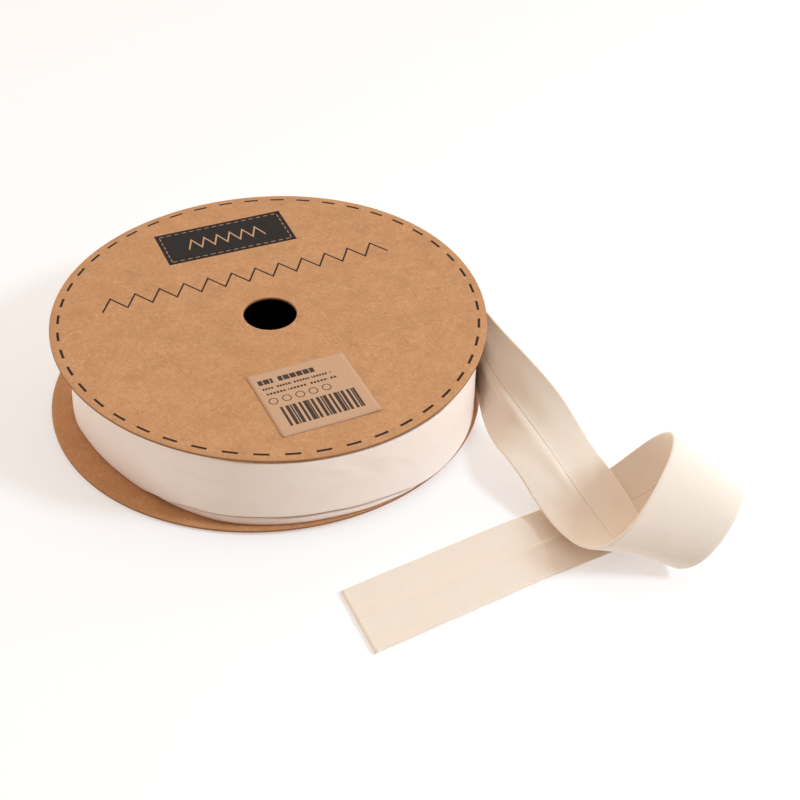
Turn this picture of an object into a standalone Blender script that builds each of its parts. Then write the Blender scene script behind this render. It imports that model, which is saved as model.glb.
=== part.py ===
# Roll of bias binding on a flat card reel.
# Two thin card discs stand either side of the wound tape. The outer turn comes off at the right,
# twists onto its side, rolls over once in a standing loop and lies flat to its cut end.
# Metres, +Z up, the reel's axis upright. The whole part stands on z = 0.

import math

import bmesh
import bpy
from mathutils import Matrix, Vector

for thing in list(bpy.data.objects):
    bpy.data.objects.remove(thing, do_unlink=True)

MM = 0.001

# Reel card
CARD_RADIUS = 68.5
CARD_THICKNESS = 1.0
SPINDLE_RADIUS = 8.0
CARD_SHIFT = Vector((1.0, 0.5))
TOP_CARD_HEIGHT = 29.6
TOP_CARD_SLOPE = Vector((-0.018, 0.027))
CURL_START_RADIUS = 30.0
CURL_LIFT = 1.0
CURL_TURN = 38.0
BASE_CURL_START_RADIUS = 55.0
BASE_CURL_LIFT = 1.2
BASE_CURL_TURN = -50.0
TOP_CARD_RADII = (SPINDLE_RADIUS, 22.0, CURL_START_RADIUS, 40.0, 48.0, 55.0, 62.0, CARD_RADIUS)
BASE_CARD_RADII = (SPINDLE_RADIUS, BASE_CURL_START_RADIUS, 60.0, 64.5, CARD_RADIUS)

# Wound tape
TAPE_WIDTH = 25.0
TAPE_THICKNESS = 1.0
CLEARANCE = 0.3
WINDING_HOLLOW_RADIUS = 26.0
WINDING_CENTRE = Vector((2.0, -0.2))
OUTER_TURN_THICKNESS = 1.1
EDGE_ROUNDING = 0.4

# Loose end
EXIT_TURN = 39.0
EXIT_RADIUS = 62.6
FLAT_HEADING = 211.7
STEP = 2.0
FLAT_STEP = 5.0
FLAT_LENGTH = 66.0
LANDING_LENGTH = 20.0
CUT_SKEW = 3.6
SLIT_WIDTH = 0.4
SLIT_DEPTH = 0.5
FOLD_ROUNDING = 0.3

# Label
LABEL_SIZE = Vector((31.1, 29.2))
LABEL_THICKNESS = 0.3
LABEL_CENTRE = Vector((15.4, -38.6))
LABEL_TURN = 25.7
LABEL_STEPS = 6

ROUND_STEPS = 96
SHARP_EDGE = 35.0
FULL_TURN = 2.0 * math.pi

# The wound tape is uneven: drawn in at the front left and where the loose end comes away, and fullest
# at the front, where the outer turn is slack and its lower edge rides up.
# direction from the winding's centre in degrees, radius in mm
WINDING_OUTLINE = (
    (-180, 64.9),
    (-163, 64.4),
    (-150, 62.8),
    (-136, 62.2),
    (-124, 62.9),
    (-111, 65.2),
    (-99, 67.2),
    (-85, 67.6),
    (-65, 67.3),
    (-40, 67.1),
    (-26, 66.0),
    (-12, 64.5),
    (5, 63.2),
    (39, EXIT_RADIUS),
    (90, 63.4),
    (140, 64.3),
    (180, 64.9),
)

# direction in degrees, how far the outer turn's lower edge rides up in mm
OUTER_TURN_LIFT = (
    (-180, 0.0),
    (-126, 0.0),
    (-118, 1.3),
    (-106, 3.4),
    (-92, 3.9),
    (-76, 3.4),
    (-60, 2.3),
    (-42, 0.0),
    (180, 0.0),
)

# The loose end from the winding to where it lands. Along the tape: how fast it rolls about its own
# width, towards the side with the slit, and how fast it twists about its length.
# run in mm, roll and twist in degrees per centimetre
TAPE_PATH = (
    (0, 9.0, -0.5),
    (20, 6.0, 2.0),
    (40, 1.0, 7.5),
    (60, -4.5, 15.0),
    (80, -5.5, 20.5),
    (100, 2.5, -6.0),
    (120, 3.0, 16.5),
    (140, 49.5, 20.0),
    (160, 23.0, 7.5),
    (180, 42.0, -6.0),
    (200, 35.5, -19.0),
    (220, 2.5, -10.0),
    (240, 7.5, 0.5),
)


def material(name, colour, roughness):
    """A plain principled material in linear colour."""
    made = bpy.data.materials.new(name)
    made.use_nodes = True
    shader = made.node_tree.nodes["Principled BSDF"]
    shader.inputs["Base Color"].default_value = (*colour, 1.0)
    shader.inputs["Roughness"].default_value = roughness
    shader.inputs["Metallic"].default_value = 0.0
    made.diffuse_color = (*colour, 1.0)
    return made


def lofted(name, rings, look, parent, round_about, capped):
    """Joins rings of points one after the other. A ring is a closed outline of one section.
    With round_about the last ring meets the first one. With capped both end rings are filled,
    each from its first half to its second half, which runs back over the same spots."""
    mesh = bpy.data.meshes.new(name)
    shape = bmesh.new()
    rows = [[shape.verts.new(point * MM) for point in ring] for ring in rings]
    size = len(rows[0])
    pairs = list(zip(rows, rows[1:]))
    if round_about:
        pairs.append((rows[-1], rows[0]))
    for near, far in pairs:
        for i in range(size):
            j = (i + 1) % size
            shape.faces.new((near[i], near[j], far[j], far[i]))
    for end in (rows[0], rows[-1]) if capped else ():
        for i in range(size // 2 - 1):
            shape.faces.new((end[i], end[i + 1], end[size - 2 - i], end[size - 1 - i]))
    bmesh.ops.recalc_face_normals(shape, faces=shape.faces)
    shape.to_mesh(mesh)
    shape.free()
    mesh.shade_smooth()
    mesh.set_sharp_from_angle(angle=math.radians(SHARP_EDGE))
    mesh.materials.append(look)
    made = bpy.data.objects.new(name, mesh)
    bpy.context.scene.collection.objects.link(made)
    made.parent = parent
    return made


def around(i):
    """The angle of step i of a full turn."""
    return FULL_TURN * i / ROUND_STEPS


def card_lift(x, y):
    """Height of the top card's upper face over a point measured from the card's own centre.
    The card leans, and its rim curls up on two opposite sides and down on the other two."""
    r = math.hypot(x, y)
    share = max(0.0, (r - CURL_START_RADIUS) / (CARD_RADIUS - CURL_START_RADIUS))
    curl = CURL_LIFT * share * share * math.cos(2.0 * (math.atan2(y, x) - math.radians(CURL_TURN)))
    return TOP_CARD_HEIGHT + TOP_CARD_SLOPE.x * x + TOP_CARD_SLOPE.y * y + curl


def base_lift(x, y):
    """Height of the bottom card's upper face. It lies flat but for its rim, which curls up at the
    front right."""
    r = math.hypot(x, y)
    share = max(0.0, (r - BASE_CURL_START_RADIUS) / (CARD_RADIUS - BASE_CURL_START_RADIUS))
    facing = max(0.0, math.cos(math.atan2(y, x) - math.radians(BASE_CURL_TURN)))
    return CARD_THICKNESS + BASE_CURL_LIFT * (share * facing) ** 2


def card_disc(name, centre, lift, radii, look, parent):
    """A card washer: its section is out along the upper face and back along the lower one."""
    rings = []
    for i in range(ROUND_STEPS):
        c, s = math.cos(around(i)), math.sin(around(i))
        upper = [Vector((centre.x + r * c, centre.y + r * s, lift(r * c, r * s))) for r in radii]
        lower = [point - Vector((0.0, 0.0, CARD_THICKNESS)) for point in reversed(upper)]
        rings.append(upper + lower)
    return lofted(name, rings, look, parent, round_about=True, capped=False)


def eased(share):
    """0 to 1 with level ends."""
    share = min(1.0, max(0.0, share))
    return share * share * (3.0 - 2.0 * share)


def row_before(table, at):
    """The number of the table's last row that starts before a direction."""
    return max(i for i, row in enumerate(table[:-1]) if i == 0 or row[0] < at)


def winding_radius(degrees):
    """The wound tape's outer radius, on a smooth curve through the rows of WINDING_OUTLINE. Its
    slope at a row is that between the rows on either side, round the whole turn."""
    rows = WINDING_OUTLINE
    i = row_before(rows, degrees)
    before = rows[i - 1] if i else (rows[-2][0] - 360, rows[-2][1])
    after = rows[i + 2] if i + 2 < len(rows) else (rows[1][0] + 360, rows[1][1])
    span = rows[i + 1][0] - rows[i][0]
    s = (degrees - rows[i][0]) / span
    start = (rows[i + 1][1] - before[1]) / (rows[i + 1][0] - before[0]) * span
    end = (after[1] - rows[i][1]) / (after[0] - rows[i][0]) * span
    blend = eased(s)
    slopes = start * s * (1.0 - s) ** 2 - end * s * s * (1.0 - s)
    return rows[i][1] + blend * (rows[i + 1][1] - rows[i][1]) + slopes


def outer_turn_lift(degrees):
    """How far the outer turn's lower edge rides up off the turns below it, eased from row to row."""
    i = row_before(OUTER_TURN_LIFT, degrees)
    row, after = OUTER_TURN_LIFT[i], OUTER_TURN_LIFT[i + 1]
    return row[1] + eased((degrees - row[0]) / (after[0] - row[0])) * (after[1] - row[1])


def winding_section(degrees):
    """One radial section of the wound tape, from the hollow's wall out to the outer turn. It stands
    on the bottom card and stops under the top card, or at the tape's width where that is less."""
    angle = math.radians(degrees)
    direction = Vector((math.cos(angle), math.sin(angle), 0.0))
    centre = Vector((*WINDING_CENTRE, 0.0))
    outside = winding_radius(degrees)
    inside = outside - OUTER_TURN_THICKNESS
    hollow = WINDING_HOLLOW_RADIUS
    middle = 0.5 * (hollow + inside)

    def base_at(r):
        place = centre + direction * r
        return base_lift(place.x + CARD_SHIFT.x, place.y + CARD_SHIFT.y) + CLEARANCE

    def top_at(r):
        place = centre + direction * r
        under_card = card_lift(place.x - CARD_SHIFT.x, place.y - CARD_SHIFT.y) - CARD_THICKNESS
        return min(base_at(r) + TAPE_WIDTH, under_card - CLEARANCE)

    step_up = base_at(outside) + EDGE_ROUNDING + outer_turn_lift(degrees)
    section = (
        (hollow, base_at(hollow)),
        (middle, base_at(middle)),
        (inside, base_at(inside)),
        (inside, step_up),
        (outside, step_up),
        (outside, top_at(outside) - EDGE_ROUNDING),
        (outside - EDGE_ROUNDING, top_at(outside)),
        (middle, top_at(middle)),
        (hollow, top_at(hollow)),
    )
    return [centre + direction * r + Vector((0.0, 0.0, z)) for r, z in section]


def between_rows(run, column):
    """A column of TAPE_PATH at any run, straight between its rows."""
    for row, after in zip(TAPE_PATH, TAPE_PATH[1:]):
        if run <= after[0]:
            share = (run - row[0]) / (after[0] - row[0])
            return row[column] + share * (after[column] - row[column])
    return TAPE_PATH[-1][column]


def tape_stations():
    """Walks along the middle of the loose end. Each station has its place, the way on, and the
    way from the tape's lower edge to its upper edge. A roll turns the way on, a twist the edges."""
    angle = math.radians(EXIT_TURN)
    reach = EXIT_RADIUS + CLEARANCE + 0.5 * TAPE_THICKNESS
    place = Vector((*WINDING_CENTRE, CARD_THICKNESS + CLEARANCE + 0.5 * TAPE_WIDTH))
    place += Vector((math.cos(angle), math.sin(angle), 0.0)) * reach
    onward = Vector((math.sin(angle), -math.cos(angle), 0.0))
    across = Vector((0.0, 0.0, 1.0))
    stations = [(place.copy(), onward.copy(), across.copy())]
    run = 0.5 * STEP
    while run < TAPE_PATH[-1][0]:
        roll = math.radians(between_rows(run, 1)) * 0.1 * STEP
        twist = math.radians(between_rows(run, 2)) * 0.1 * STEP
        turn = -twist * onward - roll * across
        rotation = Matrix.Rotation(turn.length, 3, turn.normalized())
        before = onward
        onward = rotation @ onward
        across = rotation @ across
        place = place + (before + onward) * 0.5 * STEP
        stations.append((place, onward, across))
        run += STEP
    return stations


def flat_stations(last):
    """The stretch on the table, on from where the loop comes down. It settles onto the table and
    onto its own heading over LANDING_LENGTH, then runs straight."""
    start, arriving, leaning = last
    heading = math.radians(FLAT_HEADING)
    ahead = Vector((math.cos(heading), math.sin(heading), 0.0))
    level = Vector((-ahead.y, ahead.x, 0.0))
    settled = 0.5 * TAPE_THICKNESS
    place = start
    stations = []
    for i in range(1, round(FLAT_LENGTH / FLAT_STEP) + 1):
        share = eased(i * FLAT_STEP / LANDING_LENGTH)
        onward = arriving.lerp(ahead, share).normalized()
        across = leaning.lerp(level, share).normalized()
        place = place + onward * FLAT_STEP
        place.z = start.z + (settled - start.z) * share
        stations.append((place, onward, across))
    return stations


def tape_section():
    """The folded tape's outline, across its width and through its thickness: rounded folds at
    both edges, and the slit where the two turned-in edges meet."""
    w, t = 0.5 * TAPE_WIDTH, 0.5 * TAPE_THICKNESS
    mouth, foot = SLIT_WIDTH, 0.5 * SLIT_WIDTH
    spots = (-w, -w + FOLD_ROUNDING, -mouth, -foot, foot, mouth, w - FOLD_ROUNDING, w)
    plain_side = [(a, -t) for a in spots]
    slit_side = [(a, t - SLIT_DEPTH if abs(a) == foot else t) for a in reversed(spots)]
    for corner in (0, -1):
        plain_side[corner] = (plain_side[corner][0], FOLD_ROUNDING - t)
        slit_side[corner] = (slit_side[corner][0], t - FOLD_ROUNDING)
    return plain_side + slit_side


def tape_rings():
    """Sweeps the folded section along the loose end. The last station is cut a little askew."""
    walked = tape_stations()
    stations = walked + flat_stations(walked[-1])
    section = tape_section()
    rings = []
    for place, onward, across in stations:
        facing = onward.cross(across)
        askew = CUT_SKEW / TAPE_WIDTH if place is stations[-1][0] else 0.0
        rings.append([place + across * a + onward * (a * askew) + facing * b for a, b in section])
    return rings


def label_rings():
    """The label follows the top card's slope and curl, a row of its outline at a time."""
    turn = Matrix.Rotation(math.radians(LABEL_TURN), 2)
    shares = [i / LABEL_STEPS - 0.5 for i in range(LABEL_STEPS + 1)]
    rings = []
    for v in shares:
        low = []
        for u in shares:
            spot = LABEL_CENTRE + turn @ Vector((u * LABEL_SIZE.x, v * LABEL_SIZE.y))
            place = spot + CARD_SHIFT
            low.append(Vector((place.x, place.y, card_lift(spot.x, spot.y) + CLEARANCE)))
        high = [point + Vector((0.0, 0.0, LABEL_THICKNESS)) for point in reversed(low)]
        rings.append(low + high)
    return rings


kraft = material("kraft_board", (0.62, 0.33, 0.18), 0.85)
cotton = material("polycotton", (0.90, 0.80, 0.67), 0.9)
paper = material("label_paper", (0.66, 0.40, 0.26), 0.7)

reel = bpy.data.objects.new("reel", None)
bpy.context.scene.collection.objects.link(reel)

card_disc("top_flange", CARD_SHIFT, card_lift, TOP_CARD_RADII, kraft, reel)
card_disc("bottom_flange", -CARD_SHIFT, base_lift, BASE_CARD_RADII, kraft, reel)
turns = [winding_section(math.degrees(around(i) - math.pi)) for i in range(ROUND_STEPS)]
lofted("winding", turns, cotton, reel, round_about=True, capped=False)
lofted("tail", tape_rings(), cotton, reel, round_about=False, capped=True)
lofted("sticker", label_rings(), paper, reel, round_about=False, capped=True)

# The part's origin lies on the table under the middle of its box.
corners = [Vector(corner) for piece in reel.children for corner in piece.bound_box]
for axis, share in ((0, 0.5), (1, 0.5), (2, 0.0)):
    low = min(corner[axis] for corner in corners)
    high = max(corner[axis] for corner in corners)
    reel.location[axis] = -(low + share * (high - low))
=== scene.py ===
# Roll of bias binding on a kraft card reel, dressed over its CAD frame.
# Shapes are worked out in millimetres from the reel's axis on the table. toFrame turns them to metres.
import math

import bpy
import numpy as np
from mathutils import Matrix, Vector


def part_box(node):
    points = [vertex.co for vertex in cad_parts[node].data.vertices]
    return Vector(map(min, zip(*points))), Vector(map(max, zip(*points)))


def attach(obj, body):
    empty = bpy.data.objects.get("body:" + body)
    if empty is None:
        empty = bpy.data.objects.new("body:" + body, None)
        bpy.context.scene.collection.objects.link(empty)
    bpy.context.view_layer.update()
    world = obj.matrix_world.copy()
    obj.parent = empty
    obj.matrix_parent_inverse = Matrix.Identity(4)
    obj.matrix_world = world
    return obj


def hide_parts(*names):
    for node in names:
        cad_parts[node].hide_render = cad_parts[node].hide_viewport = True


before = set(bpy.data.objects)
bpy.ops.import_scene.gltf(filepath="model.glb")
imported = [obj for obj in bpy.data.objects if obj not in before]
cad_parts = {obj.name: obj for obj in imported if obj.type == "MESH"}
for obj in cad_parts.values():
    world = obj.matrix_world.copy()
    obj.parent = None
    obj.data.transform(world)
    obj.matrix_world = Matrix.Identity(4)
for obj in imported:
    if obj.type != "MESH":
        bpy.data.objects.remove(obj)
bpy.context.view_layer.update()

baseLow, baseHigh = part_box("bottom_flange")
cardShift = np.array([1.0, 0.5])  # from the axis to the top card's centre; the bottom card's is as far back
axisPlace = np.array([
    (baseLow.x + baseHigh.x) * 500.0 + cardShift[0],
    (baseLow.y + baseHigh.y) * 500.0 + cardShift[1],
    0.0,
])
print("frame loaded, reel axis at", np.round(axisPlace, 2))


# Small helpers

def toFrame(points):
    # millimetres from the reel's axis, moved to the frame's origin and turned to metres
    return (np.asarray(points, float) + axisPlace) * 0.001


def hexColour(code, alpha=1.0):
    # sRGB hex turned to linear: below 0.04045 a straight line, above it a power of 2.4
    parts = [int(code[i:i + 2], 16) / 255 for i in (0, 2, 4)]
    linear = [c / 12.92 if c <= 0.04045 else ((c + 0.055) / 1.055) ** 2.4 for c in parts]
    return (*linear, alpha)


def eased(share):
    # 3s^2 - 2s^3 with s held between 0 and 1
    share = np.clip(share, 0.0, 1.0)
    return share * share * (3.0 - 2.0 * share)


def tableCurve(table, column, at, soft=False):
    # a column of a table against its first column, straight or eased from row to row
    keys = np.array([row[0] for row in table], float)
    values = np.array([row[column] for row in table], float)
    at = np.clip(np.asarray(at, float), keys[0], keys[-1])
    i = np.clip(np.searchsorted(keys, at, side="left") - 1, 0, len(keys) - 2)
    share = (at - keys[i]) / (keys[i + 1] - keys[i])
    return values[i] + (eased(share) if soft else share) * (values[i + 1] - values[i])


def gridFaces(rows, columns, rowsMeet, columnsMeet):
    # four corners of each cell of a rows by columns grid, wrapping round where the ends meet
    i, j = np.meshgrid(
        np.arange(rows if rowsMeet else rows - 1),
        np.arange(columns if columnsMeet else columns - 1),
        indexing="ij",
    )
    i2, j2 = (i + 1) % rows, (j + 1) % columns
    corners = [i * columns + j, i * columns + j2, i2 * columns + j2, i2 * columns + j]
    return np.stack(corners, -1).reshape(-1, 4)


def makePiece(name, points, faces, looks, cloth=None, faceLooks=None):
    # One closed mesh from its points and four-cornered faces. If the volume summed over the faces
    # comes out negative the faces are turned round, so that they point outwards.
    place = toFrame(points)
    a, b, c, d = (place[faces[:, k]] for k in range(4))
    volume = (a * np.cross(b, c)).sum() + (a * np.cross(c, d)).sum()
    if volume < 0:
        faces = faces[:, ::-1]
    mesh = bpy.data.meshes.new(name)
    mesh.vertices.add(len(place))
    mesh.vertices.foreach_set("co", place.ravel())
    mesh.loops.add(faces.size)
    mesh.loops.foreach_set("vertex_index", np.ascontiguousarray(faces).ravel())
    mesh.polygons.add(len(faces))
    mesh.polygons.foreach_set("loop_start", np.arange(0, faces.size, 4))
    mesh.polygons.foreach_set("use_smooth", np.ones(len(faces), bool))
    for look in looks:
        mesh.materials.append(look)
    if faceLooks is not None:
        mesh.polygons.foreach_set("material_index", np.asarray(faceLooks, np.int32))
    if cloth is not None:  # millimetres along and across the unfolded cloth
        layer = mesh.uv_layers.new(name="cloth")
        layer.data.foreach_set("uv", cloth[faces.ravel()].ravel())
    mesh.update(calc_edges=True)
    mesh.validate()
    made = bpy.data.objects.new(name, mesh)
    bpy.context.scene.collection.objects.link(made)
    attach(made, "root")
    return made


# Materials

def addNode(tree, kind, settings=None, *sources, **named):
    # One node. Settings are its own properties or values of sockets by name; a word alone is its
    # operation. Sources feed the sockets in use in their order, named ones by name. A source is a
    # value, an output or a node, which stands for its first output in use.
    node = tree.nodes.new("ShaderNode" + kind)
    if isinstance(settings, str):
        settings = {"operation": settings}
    for key, value in (settings or {}).items():
        if hasattr(node, key):
            setattr(node, key, value)
        else:
            node.inputs[key].default_value = value
    inUse = [socket for socket in node.inputs if socket.enabled]
    fed = list(zip(inUse, sources)) + [(node.inputs[key], source) for key, source in named.items()]
    for socket, source in fed:
        if isinstance(source, (int, float, tuple)):
            socket.default_value = source
            continue
        if isinstance(source, bpy.types.Node):
            source = next(output for output in source.outputs if output.enabled)
        tree.links.new(source, socket)
    return node


def newMaterial(name):
    made = bpy.data.materials.new(name)
    made.use_nodes = True
    made.node_tree.nodes.clear()
    return made, made.node_tree


def localPlace(tree, centre, degrees, stretch=(1.0, 1.0)):
    # millimetres from centre on the frame's plan, turned so that x runs along a line at degrees
    coords = addNode(tree, "TexCoord").outputs["Object"]
    middle = (np.array([centre[0], centre[1], 0.0]) + axisPlace) * 0.001
    moved = addNode(tree, "Mapping", {"Location": tuple(-middle)}, coords)
    turn = (0.0, 0.0, -math.radians(degrees))
    turned = addNode(tree, "Mapping", {"Rotation": turn, "Scale": (1000.0, 1000.0, 1000.0)}, moved)
    return addNode(tree, "Mapping", {"Scale": (*stretch, 1.0)}, turned).outputs[0]


def within(tree, value, half):
    # 1 where the value is closer to 0 than half
    return addNode(tree, "Math", "LESS_THAN", addNode(tree, "Math", "ABSOLUTE", value), half)


def between(tree, value, low, high):
    # 1 where the value is between low and high
    centred = addNode(tree, "Math", "SUBTRACT", value, 0.5 * (low + high))
    return within(tree, centred, 0.5 * (high - low))


def everyPitch(tree, value, start, pitch, share):
    # 1 over the first share of each pitch, counted from start
    fromStart = addNode(tree, "Math", "SUBTRACT", value, start)
    counted = addNode(tree, "Math", "DIVIDE", fromStart, pitch)
    return addNode(tree, "Math", "LESS_THAN", addNode(tree, "Math", "FRACT", counted), share)


def distance(tree, x, y):
    # the square root of x squared plus y squared
    squares = [addNode(tree, "Math", "MULTIPLY", way, way) for way in (x, y)]
    return addNode(tree, "Math", "SQRT", addNode(tree, "Math", "ADD", *squares))


def both(tree, *masks):
    # the product: 1 where all are 1
    result = masks[0]
    for mask in masks[1:]:
        result = addNode(tree, "Math", "MULTIPLY", result, mask)
    return result


def either(tree, *masks):
    # the largest: 1 where any is 1
    result = masks[0]
    for mask in masks[1:]:
        result = addNode(tree, "Math", "MAXIMUM", result, mask)
    return result


# Sizes are in millimetres and turns in degrees; colours are sRGB hex.
reelCard = {
    "radius": 68.5,
    "thickness": 0.85,  # the card's cut edge as seen
    "solidThickness": 1.0,  # the CAD disc's, which the binding lies against
    "spindleRadius": 8.4,
    "topHeight": 29.6,
    "topSlope": (-0.018, 0.027),
    "curlStart": 30.0,
    "curlLift": 1.0,
    "curlTurn": 38.0,
    "baseCurlStart": 55.0,
    "baseCurlLift": 1.2,
    "baseCurlTurn": -50.0,
    "edgeRounding": 0.25,
    "topNarrow": 0.99,  # the top card's curl draws it in a little from left to right
    "steps": 288,
    "board": "CC976B",
    "boardDeep": "B9865A",
    "fibreLight": "E0B887",
    "fibreDark": "8E613E",
    "cutEdge": "8A6040",
    "ink": "33251C",
    "panelInk": "272321",
    "panelLine": "C59A74",
    "cutEdgePale": "A87A54",
    # near-black painted shade for the hollow inside the wound turns, on its wall and on the bottom card
    # within it
    "hollow": "1C1512",
    "paintedShadeRadius": 29.0,  # of the painted shade, a dark round on the bottom card inside the wound turns
    "dashes": 46,
    "dashShare": 0.512,  # of a dash and its gap
    "dashStart": 129.1,
    "dashRadius": 65.9,
    "dashHalfWidth": 0.42,
    "printTurn": 23.4,
    "rowCentre": (-9.0, 19.8),
    "rowLength": 96.0,
    "rowStitch": (8.0, 3.1, 0.30),  # pitch, half height, half the line's width
    "panelCentre": (-17.8, 41.7),
    "panelSize": (43.8, 18.4),
    "panelRule": (1.25, 1.5),  # its outer and inner edge, in from the panel's edge
    "panelDash": (-90.7, 2.6, 0.6),  # where dashes are counted from, pitch, the dash's share of it
    "panelRow": 26.4,
    "panelStitch": (4.4, 2.6, 0.26),
}


def cardLift(x, y):
    # The top card's upper face: its height, plus its slope, plus a curl that grows with the square of
    # the way from the curl's start to the rim and turns up on two sides and down on the other two.
    r = np.hypot(x, y)
    share = np.maximum(0.0, (r - reelCard["curlStart"]) / (reelCard["radius"] - reelCard["curlStart"]))
    turn = np.arctan2(y, x) - math.radians(reelCard["curlTurn"])
    slope = reelCard["topSlope"]
    curl = reelCard["curlLift"] * share**2 * np.cos(2 * turn)
    return reelCard["topHeight"] + slope[0] * x + slope[1] * y + curl


def baseLift(x, y):
    # The bottom card's upper face: its thickness, plus a curl that is the square of the way from the
    # curl's start to the rim times the cosine of the turn away from the front right.
    r = np.hypot(x, y)
    start = reelCard["baseCurlStart"]
    share = np.maximum(0.0, (r - start) / (reelCard["radius"] - start))
    facing = np.maximum(0.0, np.cos(np.arctan2(y, x) - math.radians(reelCard["baseCurlTurn"])))
    return reelCard["solidThickness"] + reelCard["baseCurlLift"] * (share * facing) ** 2


def kraftBoard(name, printed):
    # Uncoated kraft greyboard, die cut: matt brown, faintly cloudy, short pale and dark fibres pressed
    # flat in every direction. Fibres are about 0.12 mm wide and 1 to 3 mm long in life; they are drawn
    # 0.25 mm wide, because finer ones don't show. The print is flat dark ink on the upper face.
    made, tree = newMaterial(name)
    plan = localPlace(tree, (0.0, 0.0), 0.0)
    cloud = addNode(tree, "TexNoise", {"Scale": 0.13, "Detail": 4.0, "Roughness": 0.65}, plan)
    settings = {"Scale": 0.55, "Detail": 4.0, "Roughness": 0.7, "Distortion": 0.6}
    mottle = addNode(tree, "TexNoise", settings, plan)
    board, deep = hexColour(reelCard["board"]), hexColour(reelCard["boardDeep"])
    clouded = addNode(tree, "MapRange", {"From Min": 0.36, "From Max": 0.68, "To Max": 0.7}, cloud)
    colour = addNode(tree, "Mix", {"data_type": "RGBA"}, clouded, board, deep)
    blotch = addNode(tree, "MapRange", {"From Min": 0.42, "From Max": 0.68, "To Max": 0.55}, mottle)
    colour = addNode(tree, "Mix", {"data_type": "RGBA"}, blotch, colour, deep)
    pale, dark = hexColour(reelCard["fibreLight"]), hexColour(reelCard["fibreDark"])
    relief = mottle
    strandTurns = ((12.0, 0.0), (-34.0, 31.0), (71.0, 57.0), (128.0, 83.0), (-68.0, 109.0), (41.0, 137.0))
    for turn, offset in strandTurns:
        along = localPlace(tree, (offset, -offset), turn, (0.4, 2.2))
        strands = addNode(tree, "TexNoise", {"Scale": 1.0, "Detail": 1.0, "Distortion": 0.5}, along)
        raised = addNode(tree, "MapRange", {"From Min": 0.68, "From Max": 0.75, "To Max": 0.42}, strands)
        sunk = addNode(tree, "MapRange", {"From Min": 0.33, "From Max": 0.26, "To Max": 0.30}, strands)
        colour = addNode(tree, "Mix", {"data_type": "RGBA"}, raised, colour, pale)
        colour = addNode(tree, "Mix", {"data_type": "RGBA"}, sunk, colour, dark)
        relief = addNode(tree, "Math", "MULTIPLY_ADD", raised, 0.6, relief)
    if printed:
        ink = hexColour(reelCard["ink"])
        colour = addNode(tree, "Mix", {"data_type": "RGBA"}, cardPrint(tree), colour, ink)
        colour = printedPanel(tree, colour)
    else:  # painted shade: inside the wound turns' hollow the board is made near-black, as the hollow looks through the spindle hole
        place = addNode(tree, "SeparateXYZ", None, localPlace(tree, -cardShift, 0.0))
        fromAxis = distance(tree, *place.outputs[:2])
        inside = addNode(tree, "Math", "LESS_THAN", fromAxis, reelCard["paintedShadeRadius"])
        colour = addNode(tree, "Mix", {"data_type": "RGBA"}, inside, colour, hexColour(reelCard["hollow"]))
    bump = addNode(tree, "Bump", {"Strength": 0.25, "Distance": 0.00006}, Height=relief)
    settings = {"Roughness": 0.86, "Specular IOR Level": 0.3}
    shader = addNode(tree, "BsdfPrincipled", settings, colour, Normal=bump)
    addNode(tree, "OutputMaterial", None, shader)
    return made


def cardPrint(tree):
    # The ring of dashes: an angle counted in dashes whose fraction is under the dash's share, and a
    # radius close to the ring's. Under the panel a plain line of zigzag stitches.
    place = localPlace(tree, cardShift, 0.0, (1.0 / reelCard["topNarrow"], 1.0))
    x, y = addNode(tree, "SeparateXYZ", None, place).outputs[:2]
    angle = addNode(tree, "Math", "DEGREES", addNode(tree, "Math", "ARCTAN2", y, x))
    pitch = 360.0 / reelCard["dashes"]
    dash = everyPitch(tree, angle, reelCard["dashStart"] - 720.0, pitch, reelCard["dashShare"])
    fromRing = addNode(tree, "Math", "SUBTRACT", distance(tree, x, y), reelCard["dashRadius"])
    ring = both(tree, dash, within(tree, fromRing, reelCard["dashHalfWidth"]))
    place = localPlace(tree, cardShift + np.array(reelCard["rowCentre"]), reelCard["printTurn"])
    u, v = addNode(tree, "SeparateXYZ", None, place).outputs[:2]
    row = stitchRow(tree, u, v, *reelCard["rowStitch"])
    row = both(tree, row, within(tree, u, reelCard["rowLength"] / 2))
    return either(tree, ring, row)


def stitchRow(tree, u, v, pitch, height, half):
    # A zigzag: v against a triangle wave of u, the distance measured square to its slope.
    fromFarLeft = addNode(tree, "Math", "ADD", u, 50 * pitch)
    wave = addNode(tree, "Math", "PINGPONG", fromFarLeft, pitch / 2)
    steep = 2.0 * height / (pitch / 2)
    line = addNode(tree, "Math", "MULTIPLY_ADD", wave, steep, -height)
    return within(tree, addNode(tree, "Math", "SUBTRACT", v, line), half * math.hypot(1.0, steep))


def printedPanel(tree, colour):
    # A dark oblong with a thin broken rule inside its edge, like running stitches, and a small zigzag
    # stitch along its middle.
    centre = cardShift + np.array(reelCard["panelCentre"])
    place = localPlace(tree, centre, reelCard["printTurn"])
    u, v = addNode(tree, "SeparateXYZ", None, place).outputs[:2]
    w, h = (0.5 * side for side in reelCard["panelSize"])
    panel = both(tree, within(tree, u, w), within(tree, v, h))
    outer, inner = (both(tree, within(tree, u, w - inset), within(tree, v, h - inset))
                    for inset in reelCard["panelRule"])
    rule = addNode(tree, "Math", "SUBTRACT", outer, inner)
    upright, level = (everyPitch(tree, way, *reelCard["panelDash"]) for way in (v, u))
    besideEnds = within(tree, v, h - reelCard["panelRule"][1] - 0.1)
    stitches = addNode(tree, "Mix", {"data_type": "FLOAT"}, besideEnds, level, upright)
    zigzag = stitchRow(tree, u, v, *reelCard["panelStitch"])
    zigzag = both(tree, zigzag, within(tree, u, reelCard["panelRow"] / 2))
    lines = either(tree, both(tree, rule, stitches), zigzag)
    inked = addNode(tree, "Mix", {"data_type": "RGBA"}, panel, colour, hexColour(reelCard["panelInk"]))
    return addNode(tree, "Mix", {"data_type": "RGBA"}, lines, inked, hexColour(reelCard["panelLine"]))


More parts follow.
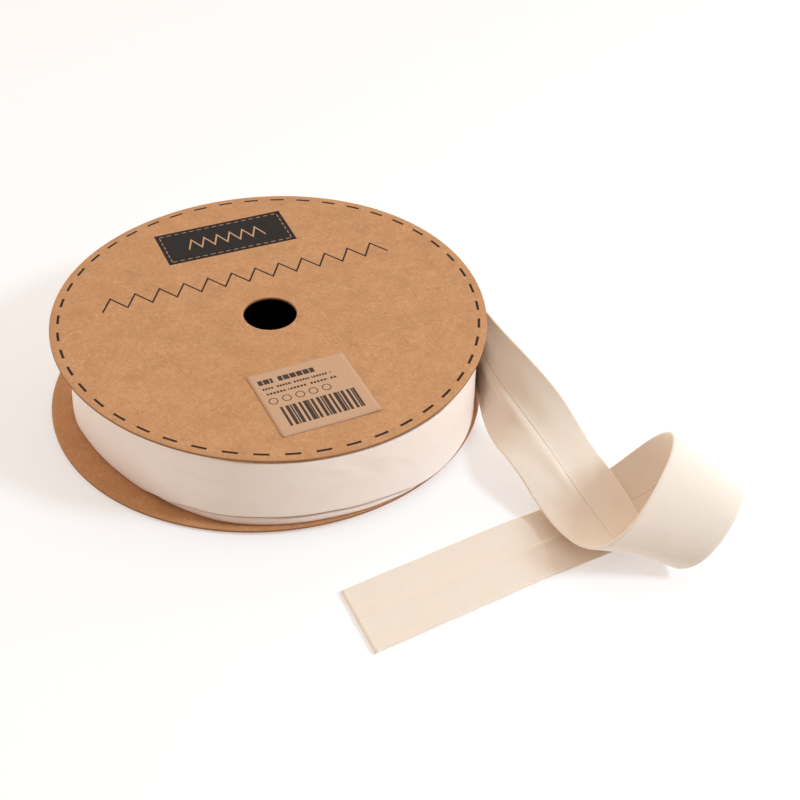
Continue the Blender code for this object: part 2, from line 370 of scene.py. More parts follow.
def boardEdge():
    # The die-cut edge of the same board: darker, rough, faintly layered at 0.25 mm.
    made, tree = newMaterial("kraft board cut edge")
    plan = localPlace(tree, (0.0, 0.0), 0.0)
    flattened = addNode(tree, "Mapping", {"Scale": (1.0, 1.0, 9.0)}, plan)
    layers = addNode(tree, "TexNoise", {"Scale": 0.5, "Detail": 3.0, "Roughness": 0.6}, flattened)
    dark, pale = hexColour(reelCard["cutEdge"]), hexColour(reelCard["cutEdgePale"])
    colour = addNode(tree, "Mix", {"data_type": "RGBA"}, layers, dark, pale)
    bump = addNode(tree, "Bump", {"Strength": 0.5, "Distance": 0.0001}, Height=layers)
    settings = {"Roughness": 0.95, "Specular IOR Level": 0.2}
    shader = addNode(tree, "BsdfPrincipled", settings, colour, Normal=bump)
    addNode(tree, "OutputMaterial", None, shader)
    return made


def cardDisc(name, node, centre, lift, looks, narrow=1.0):
    # A card washer: its section, from the hole out along the upper face, round the rim with both
    # corners eased, back along the lower face and up the hole's wall, is carried round the axis.
    r0, r1 = reelCard["spindleRadius"], reelCard["radius"]
    e, t = reelCard["edgeRounding"], reelCard["thickness"]
    faceRadii = np.concatenate([[r0 + 0.5 * e], np.linspace(r0 + e, r1 - e, 34), [r1 - 0.3 * e]])
    faceDrop = np.concatenate([[0.15 * e], np.zeros(34), [0.3 * e]])
    rimRadii, rimDrop = np.array([r1, r1, r1]), np.array([e, 0.5 * t, t - e])
    wallRadii, wallDrop = np.array([r0, r0]), np.array([t - 0.5 * e, 0.5 * e])
    radii = np.concatenate([faceRadii, rimRadii, faceRadii[::-1], wallRadii])
    drop = np.concatenate([faceDrop, rimDrop, (t - faceDrop)[::-1], wallDrop])
    edge = np.concatenate([np.zeros(35), np.ones(4), np.zeros(35), np.ones(3)])
    angle = np.linspace(0.0, 2 * math.pi, reelCard["steps"], endpoint=False)[:, None]
    x, y = narrow * radii * np.cos(angle), radii * np.sin(angle)
    z = lift(x, y) - drop
    points = np.stack([x + centre[0], y + centre[1], z], -1)
    rows, columns = x.shape
    faces = gridFaces(rows, columns, True, True)
    faceLooks = np.tile(np.resize(edge, columns), rows)
    made = makePiece(name, points.reshape(-1, 3), faces, looks, faceLooks=faceLooks)
    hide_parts(node)
    return made


printedLook = kraftBoard("kraft board, printed", True)
plainLook = kraftBoard("kraft board", False)
edgeLook = boardEdge()
cardDisc("topCard", "top_flange", cardShift, cardLift, [printedLook, edgeLook], reelCard["topNarrow"])
cardDisc("bottomCard", "bottom_flange", -cardShift, baseLift, [plainLook, edgeLook])
print("reel cards made")


# The binding

binding = {
    "width": 25.0,  # folded; the cloth is 50 mm wide before its edges are turned in
    "thickness": 0.9,
    "cloth": 0.28,
    "slitHalf": 0.04,
    "turnPitch": 0.43,  # a wound turn is pressed to this
    "shownTurns": 12,
    "hollowRadius": 26.0,
    "centre": np.array([2.0, -0.2]),
    "clearance": 0.3,
    "play": 0.1,  # between the outer turn and the turns below it
    "foldHeight": 0.16,  # of a wound turn's rounded top
    "wander": 0.22,  # of the wound turns' tops, up and down
    "exitTurn": 39.0,
    "exitRadius": 62.6,
    "exitEase": 36.0,
    "exitStandOff": 1.25,
    "hiddenStart": 10.0,
    "edgeGroove": 1.6,  # dark hollow behind the outer turn's lower edge where that edge rides up
    "flatHeading": 211.7,
    "flatLength": 65.0,
    "landing": 20.0,
    "restHeight": 0.5,  # of the tape's middle where it lies on the table
    "cutSkew": 3.6,
    "cutReach": 14.0,  # length over which the cut's skew comes in
    "flapEdge": (0.2, 1.7, 1.4),  # from the slit's middle, half breadth of the upper and lower flap's lift
    # Dents: from where along the tape, and over what length, they turn upwards on the table; up to
    # where they are held between a least and a most on the reel; how far back from the exit, and over
    # what length, they fade out towards the hidden start.
    "dentsUp": (255.0, 12.0),
    "dentsHeldTo": -8.0,
    "heldDents": (-0.5, 0.55),
    "dentsFade": (340.0, 30.0),
    "threads": 0.4,  # spacing drawn; in life it is about 0.25 mm, which doesn't show
    "slubColour": "E4CDB8",
    # glow is the share of light that spreads inside the cloth, depth how far in metres, spread its share
    # of that in red, green and blue
    "packed": {  # turns pressed on each other let hardly any light through
        "cotton": "F7E8DC", "cottonDeep": "F2E1D3",
        "glow": 0.3, "depth": 0.0004, "spread": (1.0, 0.9, 0.8),
    },
    "loose": {  # the loose end lets warm light through, most in the red
        "cotton": "F8E6D6", "cottonDeep": "F4DFCC",
        "glow": 0.6, "depth": 0.0006, "spread": (1.0, 0.9, 0.78),
    },
}

# direction from the winding's centre in degrees, radius
windingOutline = (
    (-180, 64.9), (-163, 64.4), (-150, 62.8), (-136, 62.2), (-124, 62.9), (-111, 65.2), (-99, 67.2),
    (-85, 67.6), (-65, 67.3), (-40, 67.1), (-26, 66.0), (-12, 64.5), (5, 63.2), (39, 62.6), (90, 63.4),
    (140, 64.3), (180, 64.9),
)

# direction in degrees, how far the outer turn's lower edge rides up off the turns below it, and how far
# those turns splay out at their foot under that edge
outerLiftRows = (
    (-180, 0.0, 0.0), (-126, 0.0, 0.0), (-118, 1.3, 0.0), (-106, 3.4, 0.0), (-92, 3.9, 0.0),
    (-76, 3.4, 0.2), (-60, 2.3, 0.6), (-42, 0.0, 0.5), (180, 0.0, 0.0),
)

# direction in degrees, how far the wound tape's upper edge leans in
leanRows = (
    (-180, 1.1), (-162, 1.1), (-140, 0.6), (-115, 0.0), (110, 0.0), (150, 0.7), (180, 1.1),
)

# run in mm, roll and twist in degrees a centimetre
loosePath = (
    (0, 9.0, -0.5), (20, 6.0, 2.0), (40, 1.0, 7.5), (60, -4.5, 15.0), (80, -5.5, 20.5), (100, 2.5, -6.0),
    (120, 3.0, 16.5), (140, 49.5, 20.0), (160, 23.0, 7.5), (180, 42.0, -6.0), (200, 35.5, -19.0),
    (220, 2.5, -10.0), (240, 7.5, 0.5),
)

# Soft dents and swells pressed into the binding, towards the slit side where the height is positive.
# along in mm from where it leaves the reel, across from its middle, half length, half breadth,
# slant in degrees, height
dents = (
    (-262, 1.2, 34, 1.1, 0, -0.26),
    (-262, -4.5, 40, 4.0, 0, 0.26),
    (-288, 3.5, 7, 2.0, 38, 0.55),
    (-296, 5.5, 8, 1.6, 30, -0.42),
    (-281, 6.5, 9, 1.5, 20, -0.38),
    (-276, -2.0, 8, 2.2, -40, 0.30),
    (-300, 0.5, 6, 1.6, 55, 0.32),
    (-235, 4.5, 14, 2.4, 12, 0.14),
    (-205, -3.0, 16, 3.0, -18, 0.12),
    (-178, 2.0, 13, 3.0, 25, -0.12),
    (-140, -2.0, 20, 3.5, 14, 0.12),
    (-95, 3.0, 18, 3.0, -22, -0.12),
    (-50, -3.0, 16, 3.0, 20, 0.10),
    (52, 6.5, 22, 2.8, 0, 0.9),
    (60, -2.1, 25, 1.9, 1, 1.2),
    (100, -1.6, 7, 1.0, 0, 0.35),
    (88, -3.5, 16, 2.6, 12, 0.40),
    (104, 5.5, 14, 2.4, -18, 0.28),
    (112, -6.5, 14, 3.0, 22, -0.25),
    (131, 4.0, 9, 2.6, -35, 0.25),
    (158, -4.0, 10, 3.0, 20, -0.25),
    (186, 4.5, 12, 3.0, -25, 0.22),
    (214, -3.0, 12, 3.0, 16, 0.20),
)

# How far each flap's raw edge stands off beside the slit: along in mm, the upper flap, the lower flap
slitLift = (
    (-420, 0.0, 0.0), (135, 0.0, 0.0), (165, 0.1, 0.1), (200, 0.35, 0.1), (235, 0.45, 0.0),
    (262, 0.50, 0.0), (285, 0.38, 0.0), (310, 0.12, 0.05),
)


def turnedBack(degrees):
    # the same direction between -180 and 180 degrees
    return (np.asarray(degrees, float) + 180.0) % 360.0 - 180.0


def windingRadius(degrees):
    # A smooth curve through the outline's rows: between two rows a cubic, whose slope at a row is that
    # between the rows on either side, round the whole turn.
    at = turnedBack(degrees)
    keys, values = np.array(windingOutline, float).T
    allKeys = np.concatenate([[keys[-2] - 360.0], keys, [keys[1] + 360.0]])
    allValues = np.concatenate([[values[-2]], values, [values[1]]])
    slopes = (allValues[2:] - allValues[:-2]) / (allKeys[2:] - allKeys[:-2])
    i = np.clip(np.searchsorted(keys, at, side="right") - 1, 0, len(keys) - 2)
    span = keys[i + 1] - keys[i]
    s = (at - keys[i]) / span
    bend = slopes[i] * s * (1.0 - s) ** 2 - slopes[i + 1] * s * s * (1.0 - s)
    return values[i] + eased(s) * (values[i + 1] - values[i]) + span * bend


def outerLift(degrees):
    # how far the outer turn's lower edge rides up, eased from row to row of its table
    return tableCurve(outerLiftRows, 1, turnedBack(degrees), soft=True)


def planPlace(degrees, radius):
    # x and y at a direction and radius from the winding's centre
    angle = np.radians(degrees)
    return binding["centre"][0] + radius * np.cos(angle), binding["centre"][1] + radius * np.sin(angle)


def windingFoot(degrees, radius):
    # the bottom card's upper face, plus the clearance
    x, y = planPlace(degrees, radius)
    return baseLift(x + cardShift[0], y + cardShift[1]) + binding["clearance"]


def windingHead(degrees, radius):
    # the tape's width above the foot, or the top card's underside less the clearance where that is lower
    x, y = planPlace(degrees, radius)
    upperFace = cardLift(x - cardShift[0], y - cardShift[1])
    under = upperFace - reelCard["solidThickness"] - binding["clearance"]
    return np.minimum(windingFoot(degrees, radius) + binding["width"], under)


def wovenCotton(name, state):
    # Polycotton cut on the bias: matt cream, plain weave running at 45 degrees to the tape, faintly
    # slubbed and cloudy, thin enough to let a little warm light through.
    made, tree = newMaterial(name)
    cloth = addNode(tree, "UVMap", {"uv_map": "cloth"})
    bias = addNode(tree, "Mapping", {"Rotation": (0.0, 0.0, math.radians(45.0))}, cloth)
    rate = math.pi / binding["threads"]
    threads, slubs = [], []
    ways = addNode(tree, "SeparateXYZ", None, bias).outputs
    for way, stretch in ((ways[0], (0.12, 1.6, 1.0)), (ways[1], (1.6, 0.12, 1.0))):
        threads.append(addNode(tree, "Math", "SINE", addNode(tree, "Math", "MULTIPLY", way, rate)))
        stretched = addNode(tree, "Mapping", {"Scale": stretch}, bias)
        slubs.append(addNode(tree, "TexNoise", {"Scale": 1.0}, stretched))
    weave = addNode(tree, "Math", "MULTIPLY", *threads)
    slub = addNode(tree, "Math", "MULTIPLY", addNode(tree, "Math", "ADD", *slubs), 0.5)
    cloud = addNode(tree, "TexNoise", {"Scale": 0.07, "Detail": 3.0, "Roughness": 0.55}, cloth)
    cotton, deep = hexColour(state["cotton"]), hexColour(state["cottonDeep"])
    colour = addNode(tree, "Mix", {"data_type": "RGBA"}, cloud, cotton, deep)
    fleck = addNode(tree, "MapRange", {"From Min": 0.42, "From Max": 0.66, "To Max": 0.14}, slub)
    colour = addNode(tree, "Mix", {"data_type": "RGBA"}, fleck, colour, hexColour(binding["slubColour"]))
    thick = addNode(tree, "Math", "MULTIPLY", slub, 1.2)
    relief = addNode(tree, "Math", "MULTIPLY_ADD", weave, 0.5, thick)
    bump = addNode(tree, "Bump", {"Strength": 0.18, "Distance": 0.00005}, Height=relief)
    settings = {
        "Roughness": 0.92, "Specular IOR Level": 0.25, "Sheen Weight": 0.12, "Sheen Roughness": 0.5,
        "Subsurface Weight": state["glow"], "Subsurface Radius": state["spread"],
        "Subsurface Scale": state["depth"],
    }
    shader = addNode(tree, "BsdfPrincipled", settings, colour, Normal=bump)
    addNode(tree, "OutputMaterial", None, shader)
    return made


looseLook = wovenCotton("polycotton plain weave, loose", binding["loose"])
packedLook = wovenCotton("polycotton plain weave, packed turns", binding["packed"])


def woundTurns():
    # The turns under the outer one. The section runs out along the foot, up the wall a tape's
    # thickness inside the outline, back over the tops of the turns, each a rounded fold as high as
    # the tape is wide give or take a little, and down the hollow's wall. It is carried round.
    steps = 300
    degrees = np.linspace(-180.0, 180.0, steps, endpoint=False)[:, None]
    outside = windingRadius(degrees) - binding["thickness"] - binding["play"]
    hollow = binding["hollowRadius"]
    footShare = np.array([0.0, 0.35, 0.7, 0.9, 0.985])
    footRadius = hollow + footShare * (outside - hollow)
    footHeight = windingFoot(degrees, footRadius)
    # the wall: the strip that shows under the outer turn's edge, a groove behind that edge, the rest
    foot, head = windingFoot(degrees, outside), windingHead(degrees, outside)
    lift = outerLift(degrees)
    lowest, fairAbove = 1.4, 2.4  # least height of the groove's place, way from it to the plain wall
    edge = np.maximum(lift, lowest)
    strip = np.array([0.0, 0.3, 0.8, 1.0]) * (edge - 1.0)
    splay = tableCurve(outerLiftRows, 2, turnedBack(degrees), soft=True) * eased(lift / 0.8)
    groove = edge + np.array([-0.88, -0.85, 0.5 * fairAbove, fairAbove])
    fair = foot + edge + fairAbove
    rest = fair + np.array([0.3, 0.6, 0.85, 0.96, 0.985]) * (head - fair)
    wallHeight = np.concatenate([foot + strip, foot + groove, rest], 1)
    stripInset = np.array([0.22, 0.0, 0.0, 0.12]) - splay
    grooveInset = binding["edgeGroove"] * np.array([0.3, 1.0, 1.0, 0.0]) * eased(lift / 1.6)
    restInset = np.broadcast_to([0.0, 0.0, 0.0, 0.08, 0.2], rest.shape)
    lean = tableCurve(leanRows, 1, degrees, soft=True)
    leaning = lean * (wallHeight - foot) / (head - foot)
    wallRadius = outside - np.concatenate([stripInset, grooveInset, restInset], 1) - leaning
    count, pitch = binding["shownTurns"], binding["turnPitch"]
    perTurn = 4
    k = np.arange(count * perTurn)
    turn, part = k // perTurn, (k % perTurn) / perTurn
    topRadius = outside - lean - 0.05 - (turn + part) * pitch
    fold = binding["foldHeight"] * np.sin(np.pi * (part + 0.12)) ** 2
    swing = np.sin(np.radians(degrees) * (1 + turn % 3) + turn * 1.9)
    wander = binding["wander"] * swing - 0.24 - 0.06 * (turn % 2)
    topHeight = windingHead(degrees, topRadius) - 0.2 + fold + wander
    innerShare = np.array([0.86, 0.6, 0.35, 0.12, 0.0])
    innerRadius = hollow + innerShare * (outside - lean - count * pitch - hollow)
    innerHeight = windingHead(degrees, innerRadius) - 0.3
    radius = np.concatenate([footRadius, wallRadius, topRadius, innerRadius], 1)
    height = np.concatenate([footHeight, wallHeight, topHeight, innerHeight], 1)
    x, y = planPlace(degrees, radius)
    points = np.stack([x, y, height], -1)
    rows, columns = radius.shape
    cloth = np.stack([np.broadcast_to(np.radians(degrees) * 64.0, radius.shape), height + radius], -1)
    paintedShadeFaces = np.zeros((rows, columns), int)
    paintedShadeFaces[:, -1] = 1  # painted shade, from the tops of the turns down the hollow's wall
    made = makePiece(
        "woundTurns", points.reshape(-1, 3), gridFaces(rows, columns, True, True),
        [packedLook, paintedHollowShade()], cloth.reshape(-1, 2), paintedShadeFaces.ravel(),
    )
    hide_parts("winding")
    return made


def paintedHollowShade():
    # Painted shade on the wall of the turns' hollow, seen only through the spindle hole: near-black and
    # matt.
    made, tree = newMaterial("painted shade in the hollow")
    settings = {"Base Color": hexColour(reelCard["hollow"]), "Roughness": 0.95, "Specular IOR Level": 0.1}
    addNode(tree, "OutputMaterial", None, addNode(tree, "BsdfPrincipled", settings))
    return made


def unit(vectors):
    # each vector divided by its length
    return vectors / np.linalg.norm(vectors, axis=-1, keepdims=True)


def outerTurnStations():
    # Once round the reel to the exit: the direction falls from just behind the exit, the radius keeps
    # half a thickness inside the outline and eases out over its last stretch to pass over its own start.
    u = np.linspace(-binding["hiddenStart"], 360.0, 250)
    degrees = binding["exitTurn"] - u
    outline = windingRadius(degrees)
    start = 360.0 - binding["exitEase"]
    standOff = binding["exitStandOff"] * eased((u - start) / binding["exitEase"])
    radius = outline - 0.5 * binding["thickness"] + standOff
    foot = windingFoot(degrees, outline) + outerLift(degrees)
    head = windingHead(degrees, outline)
    lean = tableCurve(leanRows, 1, turnedBack(degrees), soft=True)
    x, y = planPlace(degrees, radius - 0.5 * lean)
    place = np.stack([x, y, 0.5 * (foot + head)], -1)
    onward = unit(np.gradient(place, axis=0) * np.array([1.0, 1.0, 0.0]))
    inward = np.stack([-np.cos(np.radians(degrees)), -np.sin(np.radians(degrees)), np.zeros(len(u))], -1)
    across = unit(np.array([0.0, 0.0, 1.0]) + inward * (lean / binding["width"])[:, None])
    return place, onward, across, (head - foot) / binding["width"]


def turned(vector, axis, angle):
    # a vector turned about an axis: v cos + (axis x v) sin + axis (axis . v)(1 - cos)
    c, s = math.cos(angle), math.sin(angle)
    return vector * c + np.cross(axis, vector) * s + axis * np.dot(axis, vector) * (1.0 - c)


def looseStations():
    # Walks along the middle of the loose end a millimetre at a time, turning about its width by the
    # roll and about its length by the twist, then settles level on the table and runs straight.
    step = 1.0
    angle = math.radians(binding["exitTurn"])
    radius = binding["exitRadius"] + binding["exitStandOff"] - 0.5 * binding["thickness"]
    x, y = planPlace(binding["exitTurn"], radius)
    foot = reelCard["solidThickness"] + binding["clearance"]
    place = np.array([x, y, foot + 0.5 * binding["width"]])
    onward, across = np.array([math.sin(angle), -math.cos(angle), 0.0]), np.array([0.0, 0.0, 1.0])
    rows = [(place, onward, across)]
    runs = np.arange(0.5 * step, loosePath[-1][0], step)
    centimetres = 0.1 * step  # the path's turns are per centimetre
    for roll, twist in zip(tableCurve(loosePath, 1, runs), tableCurve(loosePath, 2, runs)):
        turn = -math.radians(twist) * centimetres * onward - math.radians(roll) * centimetres * across
        size = float(np.linalg.norm(turn))
        before = onward
        onward, across = (turned(way, turn / size, size) for way in (onward, across))
        place = place + (before + onward) * 0.5 * step
        rows.append((place, onward, across))
    heading = math.radians(binding["flatHeading"])
    ahead = np.array([math.cos(heading), math.sin(heading), 0.0])
    level = np.array([-ahead[1], ahead[0], 0.0])
    arriving, leaning, landing = onward, across, place[2]
    for i in range(1, int(binding["flatLength"] / step) + 1):
        share = float(eased(i * step / binding["landing"]))
        onward = unit(arriving + share * (ahead - arriving))
        across = unit(leaning + share * (level - leaning))
        place = place + onward * step
        place[2] = landing + (binding["restHeight"] - landing) * share
        rows.append((place, onward, across))
    return tuple(np.array(column) for column in zip(*rows))


def foldedSection():
    # The middle of the folded cloth as (across, through) against the width unfolded, and the way out
    # from it. From the slit out along one flap, round the fold, back under, round and in again.
    g, rho = binding["slitHalf"], 0.5 * (binding["thickness"] - binding["cloth"])
    straight = 0.5 * (binding["width"] - binding["thickness"])
    flap = np.array([0.0, 0.25, 0.6, 1.1, 1.8, 2.8, 4.0, 5.5, 7.2, 9.0, 10.6]) / 10.6 * 0.985
    bend = np.radians(np.linspace(0.0, 180.0, 7))
    under = np.linspace(0.0, 1.0, 22)[1:-1]
    flat, level, back = np.zeros(len(flap)), np.ones(len(flap)), bend[::-1]
    outA = np.concatenate([flat, -np.sin(bend), np.zeros(len(under)), np.sin(back), flat])
    outB = np.concatenate([level, np.cos(bend), -np.ones(len(under)), np.cos(back), level])
    flapEnd = g + flap * (straight - g)
    middle = np.concatenate([
        -flapEnd, np.full(len(bend), -straight), straight * (2.0 * under - 1.0),
        np.full(len(bend), straight), flapEnd[::-1],
    ])
    a, b = middle + rho * outA, rho * outB
    unfolded = np.concatenate([[0.0], np.cumsum(np.hypot(np.diff(a), np.diff(b)))])
    side = np.where(b > 0, 1.0, 0.0)
    return a, b, outA, outB, unfolded - unfolded[-1] / 2, side


def denting(along, across):
    # the sum of the dents, each a bell over an oval turned by its slant, and a faint diagonal ripple
    total = 0.045 * np.sin(along * 0.41 + across * 0.44) * np.sin(along * 0.13 + 1.0)
    total = total + 0.03 * np.sin(along * 0.27 - across * 0.52 + 2.0)
    for at, over, long, broad, slant, height in dents:
        c, s = math.cos(math.radians(slant)), math.sin(math.radians(slant))
        p, q = along - at, across - over
        total = total + height * np.exp(-(((p * c + q * s) / long) ** 2) - ((q * c - p * s) / broad) ** 2)
    return total


def foldedTape():
    # The section is carried along the outer turn and the loose end as one length of cloth: place +
    # across * a + facing * (b + dents + the slit's lift). Outer and inner faces make one closed skin.
    wound, loose = outerTurnStations(), looseStations()
    place = np.concatenate([wound[0][:-1], loose[0]])
    onward = np.concatenate([wound[1][:-1], loose[1]])
    across = np.concatenate([wound[2][:-1], loose[2]])
    squeeze = np.concatenate([wound[3][:-1], np.ones(len(loose[0]))])
    soft = np.array([1.0, 2.0, 3.0, 2.0, 1.0]) / 9.0
    squeeze = np.convolve(np.pad(squeeze, 2, mode="edge"), soft, mode="valid")
    facing = unit(np.cross(onward, across))
    gaps = np.linalg.norm(np.diff(place, axis=0), axis=1)
    run = np.concatenate([[0.0], np.cumsum(gaps)])
    run = run - run[len(wound[0]) - 1]
    a, b, outA, outB, unfolded, side = foldedSection()
    along = run[:, None]
    upper, lower = (tableCurve(slitLift, k, run, soft=True)[:, None] for k in (1, 2))
    edgeAt, upperBreadth, lowerBreadth = binding["flapEdge"]
    risen = upper * np.exp(-((a - edgeAt) / upperBreadth) ** 2)
    flapUp = side * np.where(a > 0, risen, lower * np.exp(-((a + edgeAt) / lowerBreadth) ** 2))
    upFrom, upOver = binding["dentsUp"]
    resting = eased((along - upFrom) / upOver)
    dent = denting(along, a)
    dent = dent * (1.0 - resting) + resting * side * np.abs(dent)
    dent = np.where(along < binding["dentsHeldTo"], np.clip(dent, *binding["heldDents"]), dent)
    fadeFrom, fadeOver = binding["dentsFade"]
    ends = 1.0 - eased((-along - fadeFrom) / fadeOver)
    reach = binding["cutReach"]
    cutShare = eased((along - run[-1] + reach) / reach)
    half = 0.5 * binding["cloth"]
    skins = []
    for sign in (1.0, -1.0):
        wide = (a + sign * half * outA) * squeeze[:, None]
        thick = b + sign * half * outB + dent * ends + flapUp
        skew = binding["cutSkew"] / binding["width"] * wide * cutShare
        point = place[:, None] + across[:, None] * wide[..., None] + facing[:, None] * thick[..., None]
        skins.append(point + onward[:, None] * skew[..., None])
    points = np.concatenate([skins[0], skins[1][:, ::-1]], 1)
    rows, columns = points.shape[:2]
    faces = gridFaces(rows, columns, False, True)
    n = len(a)
    j = np.arange(n - 1)
    cap = np.stack([j, j + 1, columns - 2 - j, columns - 1 - j], -1)
    faces = np.concatenate([faces, cap[:, ::-1], cap + (rows - 1) * columns])
    cloth = np.stack([np.broadcast_to(along, (rows, n)), np.broadcast_to(unfolded, (rows, n))], -1)
    cloth = np.concatenate([cloth, cloth[:, ::-1]], 1)
    onReel = np.concatenate([np.repeat(run[:-1] < 4.0, columns), np.repeat([True, False], len(cap))])
    made = makePiece(
        "bindingTape", points.reshape(-1, 3), faces, [looseLook, packedLook], cloth.reshape(-1, 2), onReel,
    )
    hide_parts("tail", "winding")
    return made


woundTurns()
foldedTape()
print("binding made")


# The paper label

label = {
    "size": (31.1, 29.2),
    "centre": np.array([15.4, -38.6]),
    "turn": 25.7,
    "stand": 0.06,  # glue and paper over the card
    "thickness": 0.14,
    "paper": "CAA381",
    "paperDeep": "C39A78",
    "ink": "3A2B22",
    # right end, lower and upper edge of each broken line, its pitch, the mark's share of the pitch
    "lines": ((5.4, 9.0, 11.2, 2.1, 0.86), (8.6, 6.5, 7.4, 0.9, 0.72), (9.6, 4.0, 4.9, 1.07, 0.7)),
    "lineStart": -13.4,
    "wordSpaces": (6.3, 0.87),  # the wider spaces in a line: every so many marks, the marks' share
    "countFrom": -60.0,  # left of the label, where marks are counted from
    "ringPitch": 4.2,
    "ringsFrom": -60.4,
    "ringHeight": 1.0,
    "ringRadius": 1.3,
    "ringLine": 0.15,  # half its width
    "ringSpan": (-14.2, 7.3),
    "bars": ((1.9, 0.42), (1.37, 0.36)),  # two rows laid over each other: pitch, the bar's share of it
    "barsFrom": -40.0,
    "barBlock": (-12.0, 12.0, -11.0, -2.2),  # left, right, lower, upper
    "cornerStart": 0.62,  # share of the sides' sum from which the lower right corner lifts
    "cornerLift": 3.0,
}


def brokenLine(tree, u, pitch, share):
    # 1 over the first share of each pitch along a line, with a wider space after every sixth or so
    mark = everyPitch(tree, u, label["countFrom"], pitch, share)
    marks, marksShare = label["wordSpaces"]
    return both(tree, mark, everyPitch(tree, u, label["countFrom"], marks * pitch, marksShare))


def labelPaper():
    # Uncoated self-adhesive label paper in a pale kraft shade: smooth, matt, faintly fibred. Its print
    # is plain rules, a row of shapes and a block of upright bars.
    made, tree = newMaterial("label paper")
    coords = localPlace(tree, cardShift + label["centre"], label["turn"])
    u, v = addNode(tree, "SeparateXYZ", None, coords).outputs[:2]
    fibres = addNode(tree, "TexNoise", {"Scale": 1.6, "Detail": 3.0, "Roughness": 0.6}, coords)
    paper, deep = hexColour(label["paper"]), hexColour(label["paperDeep"])
    colour = addNode(tree, "Mix", {"data_type": "RGBA"}, fibres, paper, deep)
    marks = []
    for right, low, high, pitch, share in label["lines"]:
        strip = both(tree, between(tree, u, label["lineStart"], right), between(tree, v, low, high))
        marks.append(both(tree, strip, brokenLine(tree, u, pitch, share)))
    fromFarLeft = addNode(tree, "Math", "SUBTRACT", u, label["ringsFrom"])
    swing = addNode(tree, "Math", "PINGPONG", fromFarLeft, label["ringPitch"])
    across = addNode(tree, "Math", "SUBTRACT", swing, 0.5 * label["ringPitch"])
    up = addNode(tree, "Math", "SUBTRACT", v, label["ringHeight"])
    fromMiddle = distance(tree, across, up)
    fromRing = addNode(tree, "Math", "SUBTRACT", fromMiddle, label["ringRadius"])
    ring = within(tree, fromRing, label["ringLine"])
    marks.append(both(tree, ring, between(tree, u, *label["ringSpan"])))
    bars = either(tree, *(everyPitch(tree, u, label["barsFrom"], *row) for row in label["bars"]))
    left, right, low, high = label["barBlock"]
    marks.append(both(tree, bars, between(tree, u, left, right), between(tree, v, low, high)))
    ink = hexColour(label["ink"])
    colour = addNode(tree, "Mix", {"data_type": "RGBA"}, either(tree, *marks), colour, ink)
    bump = addNode(tree, "Bump", {"Strength": 0.15, "Distance": 0.00004}, Height=fibres)
    settings = {"Roughness": 0.62, "Specular IOR Level": 0.4}
    shader = addNode(tree, "BsdfPrincipled", settings, colour, Normal=bump)
    addNode(tree, "OutputMaterial", None, shader)
    return made


def paperLabel():
    # An oblong over the card's own lift, a hair above it, with one corner barely lifting. The outline
    # row of the upper face meets that of the lower one, so that both faces make one closed skin.
    n = 29
    s = np.linspace(-0.5, 0.5, n)
    u, v = np.meshgrid(s * label["size"][0], s * label["size"][1], indexing="ij")
    c, q = math.cos(math.radians(label["turn"])), math.sin(math.radians(label["turn"]))
    x = label["centre"][0] + u * c - v * q
    y = label["centre"][1] + u * q + v * c
    towards = u / label["size"][0] - v / label["size"][1]
    corner = np.maximum(0.0, towards - label["cornerStart"]) ** 2 * label["cornerLift"]
    top = cardLift(x, y) + label["stand"] + label["thickness"] + corner
    upper = np.stack([x + cardShift[0], y + cardShift[1], top], -1)
    lower = upper - np.array([0.0, 0.0, label["thickness"]])
    points = np.concatenate([upper, lower[:, ::-1]], 1)
    columns = 2 * n
    faces = gridFaces(n, columns, False, True)
    j = np.arange(n - 1)
    cap = np.stack([j, j + 1, columns - 2 - j, columns - 1 - j], -1)
    faces = np.concatenate([faces, cap[:, ::-1], cap + (n - 1) * columns])
    made = makePiece("paperLabel", points.reshape(-1, 3), faces, [labelPaper()])
    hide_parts("sticker")
    return made


paperLabel()
print("label made")


# Floor, light and camera

studio = {
    "floor": "CACACA",
    "floorHalf": 6000.0,
    "floorGlow": 0.7,  # a lit table, so that the ground stays white round the object
    "worldColour": "FFF3E8",
    "frontColour": "FFCDA0",
    "worldStrength": 1.0,
    "frontDim": 0.16,  # the studio's front is nearly unlit, so the front of the reel is softly shaded
    "key": {
        "place": (837.0, -224.0, 677.0), "aim": (20.0, -10.0, 10.0),
        "size": 0.2, "power": 6.1, "colour": "D2EAFF",
    },
    "fill": {
        "place": (-900.0, -60.0, 90.0), "aim": (-40.0, 0.0, 15.0),
        "size": 0.4, "power": 1.9, "colour": "E6F2FF",
    },
    "side": {
        "place": (900.0, -150.0, 350.0), "aim": (20.0, -10.0, 10.0),
        "size": 0.9, "power": 1.1, "colour": "F2F8FF",
    },
    "camera": {"place": (41.9, -405.8, 314.8), "down": 38.13, "roll": 0.717, "lens": 71.44},
}


def plainFloor():
    # A pale matt sweep under the object: one large flat grid at the table's height.
    n = 9
    s = np.linspace(-studio["floorHalf"], studio["floorHalf"], n)
    x, y = np.meshgrid(s, s, indexing="ij")
    mesh = bpy.data.meshes.new("studioFloor")
    points = np.stack([x, y, np.full_like(x, -0.02)], -1).reshape(-1, 3) * 0.001
    mesh.from_pydata(points.tolist(), [], gridFaces(n, n, False, False).tolist())
    made, tree = newMaterial("matt white paper sweep")
    settings = {
        "Base Color": hexColour(studio["floor"]), "Roughness": 0.9, "Specular IOR Level": 0.2,
        "Emission Color": hexColour(studio["floor"]), "Emission Strength": studio["floorGlow"],
    }
    addNode(tree, "OutputMaterial", None, addNode(tree, "BsdfPrincipled", settings))
    mesh.materials.append(made)
    floor = bpy.data.objects.new("studioFloor", mesh)
    bpy.context.scene.collection.objects.link(floor)


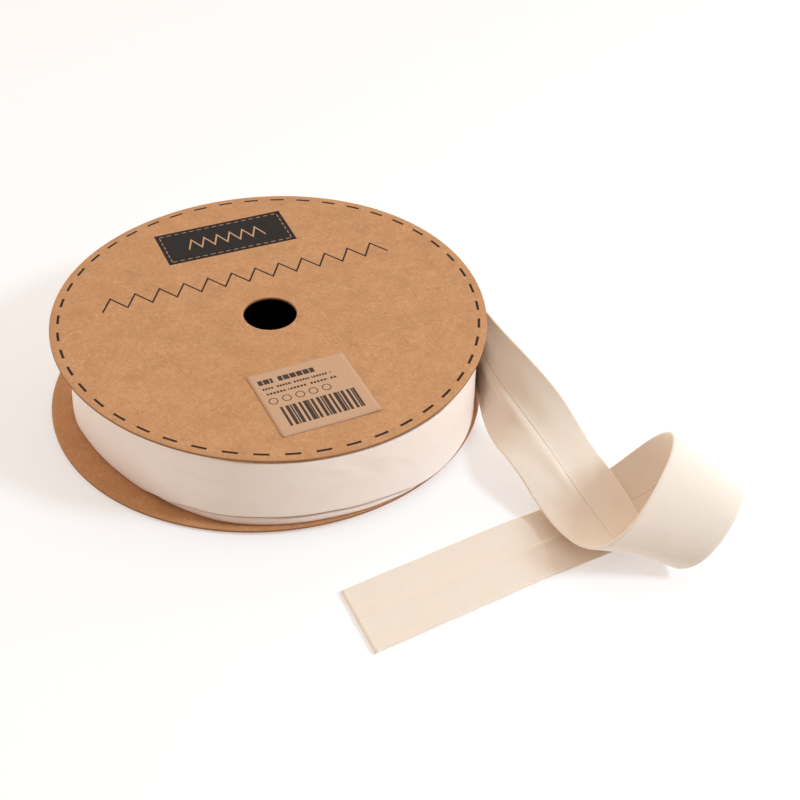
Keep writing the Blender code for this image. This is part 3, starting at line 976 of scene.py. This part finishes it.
def softBox(name, box):
    # a square area light at its place, looking at its aim, both in millimetres from the reel's axis
    lamp = bpy.data.lights.new(name, "AREA")
    lamp.shape, lamp.size, lamp.energy = "SQUARE", box["size"], box["power"]
    lamp.color = hexColour(box["colour"])[:3]
    made = bpy.data.objects.new(name, lamp)
    start, end = Vector(toFrame(box["place"])), Vector(toFrame(box["aim"]))
    made.location = start
    made.rotation_mode = "QUATERNION"
    made.rotation_quaternion = (end - start).to_track_quat("-Z", "Y")
    bpy.context.scene.collection.objects.link(made)


def studioAir():
    # Even warm white light from all round. Towards the front of the studio it dims and turns warmer,
    # with the way's reach that way: not at all up to a tenth, in full from eight tenths on.
    world = bpy.data.worlds.new("studioAir")
    world.use_nodes = True
    tree = world.node_tree
    tree.nodes.clear()
    way = addNode(tree, "SeparateXYZ", None, addNode(tree, "TexCoord").outputs["Generated"])
    front = addNode(tree, "MapRange", {"From Min": -0.1, "From Max": -0.8}, way.outputs[1])
    allRound, ahead = hexColour(studio["worldColour"]), hexColour(studio["frontColour"])
    colour = addNode(tree, "Mix", {"data_type": "RGBA"}, front, allRound, ahead)
    full, dim = studio["worldStrength"], studio["worldStrength"] * studio["frontDim"]
    strength = addNode(tree, "MapRange", {"To Min": full, "To Max": dim}, front)
    background = addNode(tree, "Background", None, colour, strength)
    addNode(tree, "OutputWorld", None, background)
    bpy.context.scene.world = world


def studioCamera():
    # Looks along +Y, 38 degrees down, with a slight roll; place and angles were fitted to the card
    # discs' outlines, the spindle hole and the flat end of the tape.
    held = studio["camera"]
    down, roll = math.radians(held["down"]), math.radians(held["roll"])
    right, up = np.array([1.0, 0.0, 0.0]), np.array([0.0, math.sin(down), math.cos(down)])
    back = np.array([0.0, -math.cos(down), math.sin(down)])
    rightHeld = right * math.cos(roll) + up * math.sin(roll)
    upHeld = up * math.cos(roll) - right * math.sin(roll)
    camera = bpy.data.cameras.new("studioCamera")
    camera.lens, camera.sensor_width = held["lens"], 36.0
    camera.clip_start, camera.clip_end = 0.01, 20.0
    made = bpy.data.objects.new("studioCamera", camera)
    matrix = np.eye(4)
    matrix[:3, 0], matrix[:3, 1], matrix[:3, 2] = rightHeld, upHeld, back
    matrix[:3, 3] = toFrame(held["place"])
    made.matrix_world = Matrix(matrix.tolist())
    bpy.context.scene.collection.objects.link(made)
    bpy.context.scene.camera = made


plainFloor()
softBox("keySoftBox", studio["key"])
softBox("fillSoftBox", studio["fill"])
softBox("sideSoftBox", studio["side"])
studioAir()
bpy.context.scene.view_settings.view_transform = "Standard"
studioCamera()
print("studio ready")
